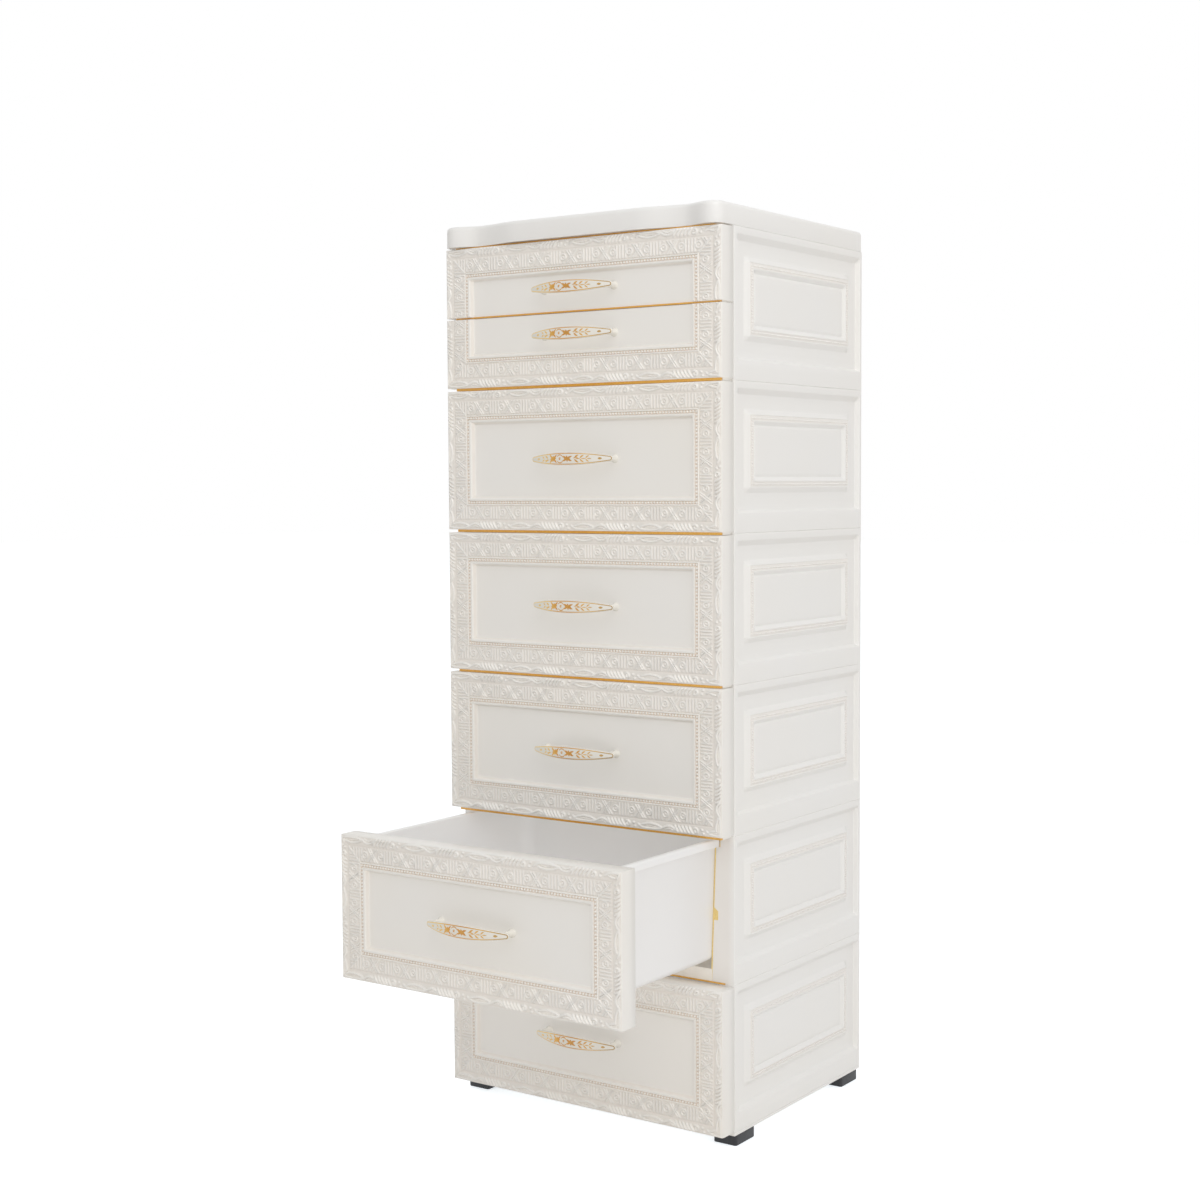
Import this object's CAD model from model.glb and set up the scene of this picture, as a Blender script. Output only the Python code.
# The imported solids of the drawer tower. Every piece below is made in their frame: +Z up, the
# drawers opening towards -Y, the floor at z = 0. Lengths are worked out in millimetres, as they
# are in the part's source, and brought to metres where a mesh is made.
import math

import bpy
import numpy as np
from mathutils import Matrix


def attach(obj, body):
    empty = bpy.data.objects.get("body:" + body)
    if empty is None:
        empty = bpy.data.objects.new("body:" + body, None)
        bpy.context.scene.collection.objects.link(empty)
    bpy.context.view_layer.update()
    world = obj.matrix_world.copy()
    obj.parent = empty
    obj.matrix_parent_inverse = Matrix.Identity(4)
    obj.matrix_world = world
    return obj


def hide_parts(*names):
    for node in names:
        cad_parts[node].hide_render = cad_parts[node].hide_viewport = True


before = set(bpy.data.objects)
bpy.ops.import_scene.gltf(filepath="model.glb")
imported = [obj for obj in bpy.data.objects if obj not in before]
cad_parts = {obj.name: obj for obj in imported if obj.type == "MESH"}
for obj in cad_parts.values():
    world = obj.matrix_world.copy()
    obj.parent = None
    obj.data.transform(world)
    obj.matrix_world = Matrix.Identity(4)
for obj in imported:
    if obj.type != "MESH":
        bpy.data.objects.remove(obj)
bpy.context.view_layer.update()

# ---------- feet ----------
# Four blocks of black plastic, pushed into the base plate. Their upright corners are round and
# their lower edges a little worn.

HALF_W, CASING_Y, CASING_BACK = 190.0, -29.1, 272.9
FOOT_W, FOOT_L, FOOT_H, FOOT_R = 30.0, 41.0, 12.0, 3.0
FOOT_X = HALF_W - FOOT_W / 2
FOOT_FRONT, FOOT_REAR = 3.0, 9.5            # the feet's distances from the casing's two ends
FOOT_ROWS = (CASING_Y + FOOT_FRONT + FOOT_L / 2, CASING_BACK - FOOT_REAR - FOOT_L / 2)
BLACK = (0.022, 0.022, 0.025)
PLASTIC_IOR = 1.49
COLOURS = {"data_type": "RGBA"}             # setting of a Mix node that mixes colours


def feed(node, inputs):
    """Gives each named input of a node its value, or a link where the value is a socket."""
    for name, value in inputs.items():
        socket = node.inputs[name.replace("_", " ")]
        if isinstance(value, bpy.types.NodeSocket):
            node.id_data.links.new(value, socket)
        else:
            socket.default_value = value


def wired(tree, kind, out, settings=(), **inputs):
    """A new shader node with its settings and inputs. Gives its output of the name out."""
    node = tree.nodes.new("ShaderNode" + kind)
    for name, value in dict(settings).items():
        setattr(node, name, value)
    feed(node, inputs)
    return node.outputs[out]


def finish(name):
    """A new material, with its node tree and its shader."""
    material = bpy.data.materials.new(name)
    material.use_nodes = True
    return material, material.node_tree, material.node_tree.nodes["Principled BSDF"]


def moulded_plastic(name, colour, warm, roughness, skin=0.06, ripple=0.25, hollow=None):
    """A moulded plastic. Its colour drifts over a hand's breadth between colour and colour times
    warm; its roughness follows a fine noise; its height is a fine noise, the moulded skin, times
    skin, plus a broad one, the sink marks, times ripple. With hollow, the colour goes towards
    colour times hollow as the mesh's own attribute "recess" goes from 0 to 1."""
    material, tree, shader = finish(name)
    where = wired(tree, "TexCoord", "Object")

    def noise(scale, detail):
        return wired(tree, "TexNoise", "Fac", Scale=scale, Detail=detail, Vector=where)

    def tinted(start, by, amount):
        end = (*[c * k for c, k in zip(colour, by)], 1)
        return wired(tree, "Mix", "Result", COLOURS, Factor=amount, A=start, B=end)

    tint = tinted((*colour, 1), warm, noise(7.0, 2.0))
    if hollow:
        recess = wired(tree, "Attribute", "Fac", {"attribute_name": "recess"})
        tint = tinted(tint, hollow, recess)
    sheen = wired(tree, "MapRange", "Result", Value=noise(160.0, 3.0),
                  To_Min=roughness - 0.06, To_Max=roughness + 0.06)
    fine = wired(tree, "Bump", "Normal", Strength=skin, Distance=0.0004,
                 Height=noise(1500.0, 2.0))
    broad = wired(tree, "Bump", "Normal", Strength=ripple, Distance=0.001,
                  Height=noise(22.0, 1.0), Normal=fine)
    feed(shader, {"IOR": PLASTIC_IOR, "Base Color": tint, "Roughness": sheen, "Normal": broad})
    return material


def arc(x, y, r, start, steps):
    """Points of a quarter circle round (x, y), anticlockwise from an angle in degrees."""
    turn = np.radians(start + np.linspace(0, 90, steps + 1))
    return np.stack([x + r * np.cos(turn), y + r * np.sin(turn)], 1)


def round_rectangle(x0, y0, x1, y1, r, steps=4):
    """Outline of a rectangle with quarter circles of radius r at its corners, anticlockwise."""
    return np.concatenate([
        arc(x1 - r, y0 + r, r, -90, steps), arc(x1 - r, y1 - r, r, 0, steps),
        arc(x0 + r, y1 - r, r, 90, steps), arc(x0 + r, y0 + r, r, 180, steps)])


def drawn_in(outline, inset):
    """An anticlockwise outline moved inwards: each corner goes along the sum of the normals of its
    two sides, by inset over one plus their scalar product."""
    ahead = np.roll(outline, -1, 0) - outline
    ahead /= np.linalg.norm(ahead, axis=1)[:, None]
    normal = np.stack([-ahead[:, 1], ahead[:, 0]], 1)
    before = np.roll(normal, 1, 0)
    return outline + inset * (normal + before) / (1 + np.sum(normal * before, 1))[:, None]


# how the two directions of an outline, and the way it is carried, lie in the frame
XYZ = np.eye(3)
UPRIGHT = (XYZ[0], XYZ[1], XYZ[2])          # outline in plan, rising
FACING = (XYZ[0], XYZ[2], -XYZ[1])          # outline seen from the front, coming forwards
SIDEWAYS = (XYZ[1], XYZ[2], XYZ[0])         # outline seen from the right, coming to the right
REARWARD = (-XYZ[0], XYZ[2], XYZ[1])        # outline seen from behind, going to the rear


def placed(flat, axes, base):
    """Points base + a*axis0 + b*axis1 + h*axis2, from rows of (a, b, h)."""
    return np.asarray(base, float) + flat @ np.array(axes)


def tube(index):
    """Faces between the rows of an array of point numbers, each row a closed ring."""
    ahead = np.roll(index, -1, 1)
    return np.stack([index[:-1], ahead[:-1], ahead[1:], index[1:]], -1).reshape(-1, 4)


def sheet(index):
    """Faces between the rows of an array of point numbers, each row an open line."""
    return np.stack([index[:-1, :-1], index[1:, :-1], index[1:, 1:], index[:-1, 1:]],
                    -1).reshape(-1, 4)


def loft(outlines, heights, axes=UPRIGHT, base=(0, 0, 0)):
    """Closed shell through outlines of equal counts, each at its height."""
    index = np.arange(len(outlines) * len(outlines[0])).reshape(len(outlines), -1)
    rise = np.repeat(np.asarray(heights, float), len(outlines[0]))
    points = placed(np.column_stack([np.concatenate(outlines), rise]), axes, base)
    return points, [tube(index), index[0][::-1][None], index[-1][None]]


def rounded(inset, height, across, up, angles):
    """Rows (inset, height) of a quarter circle: at 90 degrees on the inset, at 0 on the height.
    Its radius is given twice, with the signs of the ways it goes."""
    return [(inset + across * (1 - math.sin(a)), height + up * (1 - math.cos(a)))
            for a in np.radians(angles)]


def pressed(outline, low, high, edge, axes=UPRIGHT, base=(0, 0, 0)):
    """A plate between two heights whose edges are rounded by quarter circles of radius edge."""
    turn = (0, 35, 65, 90)
    rows = [(edge + 0.4, low), *rounded(0, low, edge, edge, turn),
            *rounded(0, high, edge, -edge, turn[::-1]), (edge + 0.4, high)]
    return loft([drawn_in(outline, inset) for inset, _ in rows], [h for _, h in rows], axes, base)


def block(low, high, edge=0.3):
    """A box between two corners, with small rounded edges."""
    return pressed(round_rectangle(low[0], low[1], high[0], high[1], edge, 2), low[2], high[2],
                   edge * 0.8)


def encloses(points, faces):
    """Volume inside a shell: the sum, over each face's fan of triangles, of corner . (corner x
    corner) / 6. It is negative where the faces point inwards."""
    return sum(np.einsum("ij,ij->", points[part[:, 0]],
                         np.cross(points[part[:, k]], points[part[:, k + 1]]))
               for part in faces for k in range(1, part.shape[1] - 1)) / 6


def lifted(shells, shift):
    """Shells moved by a vector."""
    return [(points + np.asarray(shift, float), faces) for points, faces in shells]


def moulding(name, shells, body, material, replaced=None, sharp=40):
    """One mesh object from closed shells of (points in mm, blocks of faces), riding on a body. A
    shell whose faces point inwards is turned round."""
    corners, sizes, at = [], [], 0
    for points, faces in shells:
        inward = encloses(points, faces) < 0
        for part in faces:
            corners.append(((part[:, ::-1] if inward else part) + at).ravel())
            sizes.append(np.full(len(part), part.shape[1]))
        at += len(points)
    corners, sizes = np.concatenate(corners), np.concatenate(sizes)
    mesh = bpy.data.meshes.new(name)
    mesh.vertices.add(at)
    mesh.vertices.foreach_set("co", (np.concatenate([p for p, _ in shells]) * 0.001).ravel())
    mesh.loops.add(len(corners))
    mesh.loops.foreach_set("vertex_index", corners.astype(np.int32))
    mesh.polygons.add(len(sizes))
    mesh.polygons.foreach_set("loop_start", (np.cumsum(sizes) - sizes).astype(np.int32))
    mesh.polygons.foreach_set("use_smooth", np.ones(len(sizes), bool))
    mesh.update(calc_edges=True)
    mesh.validate()
    mesh.set_sharp_from_angle(angle=math.radians(sharp))
    piece = bpy.data.objects.new(name, mesh)
    bpy.context.scene.collection.objects.link(piece)
    mesh.materials.append(material)
    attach(piece, body)
    if replaced:
        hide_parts(replaced)
    return piece


foot_plastic = moulded_plastic("foot_plastic", BLACK, (1.0, 1.0, 1.1), 0.5, skin=0.3)
foot_outline = round_rectangle(-FOOT_W / 2, -FOOT_L / 2, FOOT_W / 2, FOOT_L / 2, FOOT_R)
foot = [pressed(foot_outline, 0, FOOT_H, 0.8)]
for k in range(1, 5):
    place = (-FOOT_X if k % 2 else FOOT_X, FOOT_ROWS[(k - 1) // 2], 0)
    moulding(f"foot_block_{k}", lifted(foot, place), "casing", foot_plastic, f"foot_{k}")

# ---------- base ----------
# A flat plate of the casing's white polypropylene, round at its rear corners, with the front rail
# of the lowest bay and three ribs on it.

WHITE = (0.885, 0.88, 0.868)
WARM = (1.0, 0.985, 0.955)
TAN = (0.90, 0.81, 0.73)                    # what the whites are multiplied by in a hollow
casing_plastic = moulded_plastic("casing_plastic", WHITE, WARM, 0.36, hollow=TAN)
BASE_TOP, REAR_R = 15.5, 5.0
STILE_T, RAIL_H = 3.0, 14.5
BAY_INSET, TUB_FLOOR = 28.5, 23.0
LEAN = math.tan(math.radians(2.1))


def bay_x(z):
    """Half the width of the bay between the side panels, which leans as the tubs do."""
    return HALF_W - BAY_INSET + (z - TUB_FLOOR) * LEAN


def ribs(places, y0, y1, z0, z1):
    """Upright ribs 2 mm thick, from front to rear."""
    return [block((x - 1, y0, z0), (x + 1, y1, z1)) for x in places]


RAIL_X = bay_x(0) - 0.1
plan = round_rectangle(-HALF_W, CASING_Y, HALF_W, CASING_BACK, 1.0)
corner = arc(HALF_W - REAR_R, CASING_BACK - REAR_R, REAR_R, 0, 6)
plan = np.concatenate([plan[:5], corner, corner[::-1] * [-1, 1], plan[15:]])
moulding("base_plate", [
    pressed(plan, FOOT_H, BASE_TOP - 0.1, 0.7),
    block((-RAIL_X, CASING_Y, BASE_TOP - 0.5), (RAIL_X, CASING_Y + STILE_T, BASE_TOP + RAIL_H),
          0.6),
    *ribs((-75, 0, 75), CASING_Y + 3, CASING_BACK - 3, BASE_TOP - 0.2, BASE_TOP + 8),
], "casing", casing_plastic, "base")

# ---------- side panels ----------
# Each tier's side is one moulding of the same white plastic: an outer wall with a sunk field and
# a framed panel standing in it, edged with beads, and behind the wall the front stile, the ledges
# on which the drawer rims run, and the flanges by which the tiers stack.

TIERS, TIER_H = 6, 166.0
CASING_D = CASING_BACK - CASING_Y
FIELD = (8.0, 294.0, 22.0, 158.0)           # front, rear, low and high edge of the sunk field
FIELD_SINK = 6.0
FIELD_SLOPES = (1.5, 1.5, 3.0, 6.0)
PANEL = (30.0, 272.0, 44.0, 136.0)          # edges of the framed panel
# distances inwards from those edges, and the depths there: slope, quirk, bead seat, ridge, inner
# slope, and the edge of the raised middle
PANEL_STEPS = (0, 6.0, 6.9, 7.8, 11.6, 12.2, 13.6, 17.6, 20.0)
PANEL_DEPTHS = (FIELD_SINK, 0.8, 1.7, 1.1, 1.1, 0.4, 0.5, 4.2, 2.9)
BEAD_SEAT, BEAD_SEAT_DEPTH = 9.7, 1.1
BEAD_PITCH, BEAD_R = 2.9, 1.2
SIDE_SOFT = 0.4
WALL_T = 8.5
SKIN_X = HALF_W - WALL_T
INTO_WALL = SKIN_X + 0.5                    # where the pieces behind the wall end, inside it
GROOVE_RIMS = (79.0, 161.2)                 # heights of the rims that the two grooves take
RIM_H, RIM_SEAT, LEDGE_T, GROOVE_HEAD = 8.6, 0.3, 3.0, 1.2
RIM_REACH, NOTCH_GAP = 3.7, 1.3
SLOT_Y, SLOT_WALL = 265.7, 2.4              # the upright slot that holds the back panel


def tier_z(tier):
    """Floor line of a tier, counted from the floor."""
    return BASE_TOP + (tier - 1) * TIER_H


def inside(a, b, edges):
    """Distances from the four edges of a rectangle, positive inwards."""
    return a - edges[0], edges[1] - a, b - edges[2], edges[3] - b


def side_relief(a, b):
    """Depth of the outer face. The field's floor is the least of four slopes; the framed panel is
    the mitred distance from its edges, looked up in its steps."""
    slopes = [d / w for d, w in zip(inside(a, b, FIELD), FIELD_SLOPES)]
    field = FIELD_SINK * np.clip(np.minimum.reduce(slopes), 0, 1)
    into = np.minimum.reduce(inside(a, b, PANEL))
    return np.where(into > 0, np.interp(into, PANEL_STEPS, PANEL_DEPTHS), field)


def softened(depth, a, b, reach):
    """depth averaged over a square of half-width reach, which rounds every crease by about that."""
    shifts = reach * np.array([-1, -0.5, 0, 0.5, 1])
    return sum(depth(a + p, b + q) for p in shifts for q in shifts) / 25


def edge_round(distance, r):
    """How far a quarter circle of radius r falls back, at a distance from its edge."""
    return r - np.sqrt(np.maximum(r * r - np.clip(r - distance, 0, r) ** 2, 0))


def grid_lines(low, high, creases, reach, span):
    """Sorted places from low to high, three close round each crease and none wider than span."""
    marks = np.array([c + s * reach for c in creases for s in (-1, 0, 1)])
    marks = np.unique(np.clip(np.concatenate([[low, high], marks]), low, high))
    marks = marks[np.concatenate([[True], np.diff(marks) > 0.12])]
    marks[-1] = high
    gaps = [np.linspace(p, q, max(1, math.ceil((q - p) / span)) + 1)[:-1]
            for p, q in zip(marks[:-1], marks[1:])]
    return np.concatenate(gaps + [[high]])


def relief_slab(a, b, depth, thick, axes, base):
    """Closed slab: its outer face lies depth(a, b) below the base plane on a grid of a and b, and
    its inner face is flat, thick below that plane."""
    grid_a, grid_b = np.meshgrid(a, b, indexing="ij")
    outer = np.stack([grid_a.ravel(), grid_b.ravel(), -depth(grid_a, grid_b).ravel()], 1)
    index = np.arange(len(outer)).reshape(len(a), len(b))
    rim = np.concatenate([index[:, 0], index[-1, 1:], index[-2::-1, -1], index[0, -2:0:-1]])
    inner = outer[rim] * [1, 1, 0] - [0, 0, thick]
    below = len(outer) + np.arange(len(rim))
    points = placed(np.concatenate([outer, inner]), axes, base)
    return points, [sheet(index), tube(np.stack([below, rim])), below[::-1][None]]


def beads(centres, r, rise, axes, base, around=8):
    """A closed half-egg of radius r and height rise on every centre (a, b, height)."""
    turn = 2 * np.pi * np.arange(around) / around
    rings = [(r, -0.25), (r * 0.94, rise * 0.38), (r * 0.6, rise * 0.82)]
    egg = np.concatenate([
        *[np.stack([q * np.cos(turn), q * np.sin(turn), np.full(around, h)], 1) for q, h in rings],
        [[0, 0, rise]]])
    index = np.arange(3 * around).reshape(3, around)
    tips = np.stack([index[2], np.roll(index[2], -1), np.full(around, 3 * around)], 1)
    start = (np.arange(len(centres)) * len(egg))[:, None, None]
    points = placed((np.asarray(centres)[:, None] + egg[None]).reshape(-1, 3), axes, base)
    return points, [(start + part).reshape(-1, part.shape[1])
                    for part in (tube(index), tips, index[0][::-1][None])]


def bead_row(a0, a1, b0, b1, pitch, height):
    """Centres at equal steps round a rectangle, one on each corner, all at one height."""
    na, nb = round((a1 - a0) / pitch), round((b1 - b0) / pitch)
    a, b = np.linspace(a0, a1, na + 1), np.linspace(b0, b1, nb + 1)[1:-1]
    row = np.concatenate([np.stack([a, 0 * a + b0], 1), np.stack([a, 0 * a + b1], 1),
                          np.stack([0 * b + a0, b], 1), np.stack([0 * b + a1, b], 1)])
    return np.column_stack([row, np.full(len(row), height)])


def side_depth(a, b):
    """The softened relief, with the panel's own outer edges rounded."""
    rims = (edge_round(a, 1.0), edge_round(CASING_D - a, REAR_R), edge_round(b, 0.9),
            edge_round(TIER_H - b, 0.9))
    return np.maximum.reduce([softened(side_relief, a, b, SIDE_SOFT), *rims])


def notch_x(rim):
    """Half the width between the notches that the stiles have for a rim."""
    return bay_x(rim) + RIM_REACH + NOTCH_GAP


def stile_edge():
    """The stile's inner edge as (x, z), rising: straight along the bay, and notched for each rim,
    with a slope over the notch that runs out at the tier's top."""
    edge = [(bay_x(0), 0.2)]
    head = TIER_H - 0.2
    for rim in GROOVE_RIMS:
        low, top, notch = rim - RIM_H - RIM_SEAT, rim + GROOVE_HEAD, notch_x(rim)
        edge += [(bay_x(low), low), (notch, low), (notch, top)]
        slope_end = min(top + 4, head)
        edge.append((notch + (bay_x(top) - notch) * (slope_end - top) / 4, slope_end))
    if slope_end < head:
        edge.append((bay_x(head), head))
    return edge


def wall_lines(size, first, after, before):
    """Grid lines of the wall from 0 to size, close at the relief's steps and at the places after 0
    and before size. The edges that they cross stand from first on in FIELD and in PANEL."""
    (f0, f1), (soft0, soft1), (p0, p1) = [
        edges[first:first + 2] for edges in (FIELD, FIELD_SLOPES, PANEL)]
    creases = [f0, f0 + soft0, f1 - soft1, f1]
    creases += [p0 + s for s in PANEL_STEPS] + [p1 - s for s in PANEL_STEPS]
    return np.unique([*grid_lines(0, size, creases, SIDE_SOFT, 9), *after,
                      *(size - np.array(before))])


def side_shells():
    """The right-hand panel of a tier whose floor line is z = 0."""
    corner = (HALF_W, CASING_Y, 0)
    a = wall_lines(CASING_D, 0, (0.3, 0.6, 1.0), (0.15, 0.5, 1.2, 2.2, 3.5, 5))
    b = wall_lines(TIER_H, 2, (0.25, 0.6, 1.0), (0.25, 0.6, 1.0))
    row = bead_row(PANEL[0] + BEAD_SEAT, PANEL[1] - BEAD_SEAT, PANEL[2] + BEAD_SEAT,
                   PANEL[3] - BEAD_SEAT, BEAD_PITCH, -BEAD_SEAT_DEPTH)
    stile = [(SKIN_X + 1, 0.2), (SKIN_X + 1, TIER_H - 0.2), *reversed(stile_edge())]
    shells = [relief_slab(a, b, side_depth, WALL_T, SIDEWAYS, corner),
              beads(row, BEAD_R, BEAD_SEAT_DEPTH - 0.02, SIDEWAYS, corner),
              pressed(np.array(stile), -CASING_Y - STILE_T, -CASING_Y - 0.08, 0.5, FACING)]
    run_y, run_back, end_y = CASING_Y + STILE_T - 0.2, CASING_BACK - 6, CASING_BACK - 0.1
    lows = [rim - RIM_H - RIM_SEAT for rim in GROOVE_RIMS]
    for low in lows:
        shells.append(block((bay_x(low), run_y, low - LEDGE_T), (INTO_WALL, run_back, low)))
    lip = GROOVE_RIMS[0] + GROOVE_HEAD
    shells.append(block((bay_x(lip + 3), run_y, lip), (INTO_WALL, run_back, lip + 3)))
    for low, high in ((3.0, lows[0] - LEDGE_T), (lip + 3, lows[1] - LEDGE_T)):
        for k in range(1, 5):
            y = CASING_Y + k * CASING_D / 5
            shells.append(block((bay_x(high) + 3, y - 1, low - 0.2),
                                (INTO_WALL, y + 1, high + 0.2)))
    shells.append(block((bay_x(0) - 11, run_y + 0.5, 0.05), (INTO_WALL, end_y, 3)))
    shells.append(block((bay_x(TIER_H), run_y, TIER_H - 3), (INTO_WALL, end_y, TIER_H - 0.05)))
    for y in (SLOT_Y, CASING_BACK - SLOT_WALL):
        shells.append(block((SKIN_X - 9, y, 2.8), (INTO_WALL, y + SLOT_WALL, TIER_H - 2.8)))
    return shells


def mirrored(shells):
    """Shells of the left-hand side: x changes sign."""
    return [(points * [-1, 1, 1], faces) for points, faces in shells]


def mark_recess(piece, depth):
    """Stores how deep each point lies in its relief, 0 on the crests and 1 on the ground."""
    layer = piece.data.attributes.new("recess", "FLOAT", "POINT")
    layer.data.foreach_set("value", depth.astype(np.float32))


def side_recess(shells):
    """A quarter at most: by depth within 3.2 mm of the beads' line, and all of it behind the
    wall."""
    spots = np.concatenate([points for points, _ in shells])
    deep = HALF_W - spots[:, 0]
    into = np.minimum.reduce(inside(spots[:, 1] - CASING_Y, spots[:, 2], PANEL))
    by_beads = (np.abs(into - BEAD_SEAT) < 3.2) & (deep < 2.2)
    recess = np.where(by_beads, np.clip((deep - 0.1) / 2.5, 0, 0.25), 0)
    return np.where(deep > WALL_T - 1.5, 0.25, recess)


right_panel = side_shells()
panel_recess = side_recess(right_panel)
for tier in range(1, TIERS + 1):
    for side, shells in (("right", right_panel), ("left", mirrored(right_panel))):
        panel = moulding(f"side_panel_{side}_{tier}", lifted(shells, (0, 0, tier_z(tier))),
                         "casing", casing_plastic, f"side_{side}_{tier}")
        mark_recess(panel, panel_recess)

# ---------- back panels and shelves ----------
# Thin white plates: the backs slide down the side panels' slots, and the shelves lie on their
# flanges, each with a rail across the front of the bay above it.

INNER_WHITE = (0.91, 0.865, 0.80)
inner_plastic = moulded_plastic("inner_plastic", INNER_WHITE, WARM, 0.42)
BACK_X, BACK_FACE, BACK_T = SKIN_X - 0.1, 270.4, 3.6
BACK_FRAME = (-BACK_X + 23.0, BACK_X - 23.0, 14.0, 152.0)
BAR_PITCH, BAR_HALF, BAR_RISE = 79, 4, 1.4
SHELF_BACK = SLOT_Y - 0.3


def back_relief(a, b):
    """Height of the back's outer face, as a depth below its highest points: a frame and three
    upright bars, each 8 mm wide and raised as a parabola."""
    into = np.minimum.reduce(inside(a, b, BACK_FRAME))
    frame_bar = np.clip(1 - np.abs(into - BAR_HALF) / BAR_HALF, 0, 1)
    upright = np.maximum.reduce([
        np.clip(1 - np.abs(a - k * BAR_PITCH) / BAR_HALF, 0, 1) for k in (-1, 0, 1)])
    upright = np.where((b > BACK_FRAME[2] + 6) & (b < BACK_FRAME[3] - 6), upright, 0)
    bar = np.maximum(frame_bar, upright)
    return BAR_RISE * (1 - bar * (2 - bar))


def back_depth(a, b):
    """The back's relief with its creases rounded."""
    return softened(back_relief, a, b, 0.6)


over_bar = (0, BAR_HALF, 2 * BAR_HALF)
lines_a = grid_lines(-BACK_X, BACK_X, [s * (BACK_FRAME[1] - v) for s in (-1, 1) for v in over_bar]
                     + [k * BAR_PITCH + v for k in (-1, 0, 1) for v in (-BAR_HALF, 0, BAR_HALF)],
                     1.2, 12)
lines_b = grid_lines(0.1, TIER_H - 0.1, [BACK_FRAME[2] + v for v in over_bar]
                     + [BACK_FRAME[3] - v for v in over_bar], 1.2, 12)
back = [relief_slab(lines_a, lines_b, back_depth, BACK_T, REARWARD, (0, BACK_FACE, 0))]
plate_y = CASING_Y + STILE_T - 0.2
shelf = [
    block((-RAIL_X, CASING_Y, -1), (RAIL_X, CASING_Y + STILE_T, RAIL_H), 0.6),
    block((-RAIL_X, plate_y, 3), (RAIL_X, SHELF_BACK, 5.5)),
    block((-RAIL_X, SHELF_BACK - 2.5, 3), (RAIL_X, SHELF_BACK, RAIL_H)),
    *ribs((-RAIL_X / 2, 0, RAIL_X / 2), plate_y, SHELF_BACK - 0.5, 5.3, 9.5),
]
for tier in range(1, TIERS + 1):
    rise = (0, 0, tier_z(tier))
    moulding(f"back_panel_{tier}", lifted(back, rise), "casing", inner_plastic,
             f"back_{tier}")
    if tier > 1:
        moulding(f"shelf_plate_{tier}", lifted(shelf, rise), "casing", inner_plastic,
                 f"shelf_{tier}")

# ---------- lid ----------
# One hollow white moulding whose front runs out in an ear at each end, with a hollow beside it and
# a long swell between. Its top edge is rolled.

LID_Z, LID_H, LID_WALL, LID_EDGE = tier_z(TIERS) + TIER_H, 24.0, 3.0, 5.0
LID_CORNER, LID_REAR_R = 15.0, 8
LID_WAVE, FRONT_Y = 9.0, -56.9
EAR_X, HOLLOW_X, SWELL_W = HALF_W - LID_CORNER, HALF_W - 48.0, 60.0


def lid_front(x):
    """The front edge: half a cosine wave from the ear to the hollow and another up to the swell."""
    across = np.abs(x)
    t = np.where(across > HOLLOW_X, (across - HOLLOW_X) / (EAR_X - HOLLOW_X),
                 np.minimum(1, (HOLLOW_X - across) / SWELL_W))
    return FRONT_Y + 0.45 * LID_WAVE - LID_WAVE * (1 - np.cos(np.pi * t)) / 2


def lid_outline(inset):
    """The lid's plan, drawn in: the wavy front from left to right, then four round corners."""
    r, rear = LID_CORNER - inset, max(LID_REAR_R - inset, 1)
    x = np.linspace(-EAR_X, EAR_X, 181)[1:-1]
    ear_y, rear_x, rear_y = lid_front(EAR_X) + r, HALF_W - rear, CASING_BACK - rear
    return np.concatenate([
        np.stack([x, lid_front(x) + inset], 1), arc(EAR_X, ear_y + inset, r, -90, 10),
        arc(rear_x - inset, rear_y - inset, rear, 0, 10),
        arc(inset - rear_x, rear_y - inset, rear, 90, 10),
        arc(-EAR_X, ear_y + inset, r, 180, 10)])


# (inset, height) from the ceiling down the inside, round the lower edge and up over the rolled top
profile = [(LID_WALL + 1.2, LID_H - LID_WALL), (LID_WALL, LID_H - LID_WALL - 0.8),
           (LID_WALL, 0.3), (LID_WALL - 0.3, 0), (0.5, 0), (0.15, 0.15), (0, 0.5),
           *rounded(0, LID_H, LID_EDGE, -LID_EDGE, np.linspace(90, 0, 9)), (LID_EDGE + 0.8, LID_H)]
ceiling, wall_x = LID_H - LID_WALL + 0.5, HALF_W - LID_WALL + 0.5
moulding("lid_moulding", lifted([
    loft([lid_outline(inset) for inset, _ in profile], [h for _, h in profile]),
    *ribs((-167, -63, 63, 167), CASING_Y, CASING_BACK - LID_WALL + 0.5, 2, ceiling),
    block((-wall_x, CASING_Y, 0.5), (wall_x, CASING_Y + 2, ceiling)),
], (0, 0, LID_Z)), "casing", casing_plastic, "lid")

# ---------- drawer tubs ----------
# Each tub is a deep white tray with leaning walls, round rear corners and a rolled rim that hooks
# over the ledges in the bay. Ears near the rear of the rim stop it behind the stiles, and a plate
# across its front closes the hollow of the moulded front.

DRAWERS = TIERS + 1
OPEN_DRAWER, OPEN_BY = 2, 194.0
FULL_H, HALF_H, SEAM, SPLIT = 162.4, 80.2, 3.6, 2.0
FRONT_T, FRONT_WALL = 27.0, 2.6
FRONT_BACK = FRONT_Y + FRONT_T
TUB_BACK, TUB_WALL, TUB_CORNER, FLOOR_R = FRONT_BACK + 282.0, 2.2, 18.0, 7.0
TUB_GAP, RIM_DROP, LOW_FLOOR = 2.0, 3.0, 9.0
RIM_OUT, RIM_T = 5.7, 2.0
PLATE_T, PLATE_FIT = 3.0, 0.3
EAR_L, EAR_CATCH = 30, 2.4
TUB_WHITE = (0.92, 0.918, 0.92)
tub_plastic = moulded_plastic("tub_plastic", TUB_WHITE, (1.0, 0.99, 0.97), 0.32)


def drawer_base(d):
    """Where the pieces of a drawer stand: its tier's floor line, and how far it is pulled out."""
    return (0, -OPEN_BY if d == OPEN_DRAWER else 0, tier_z(min(d, TIERS)))


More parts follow.
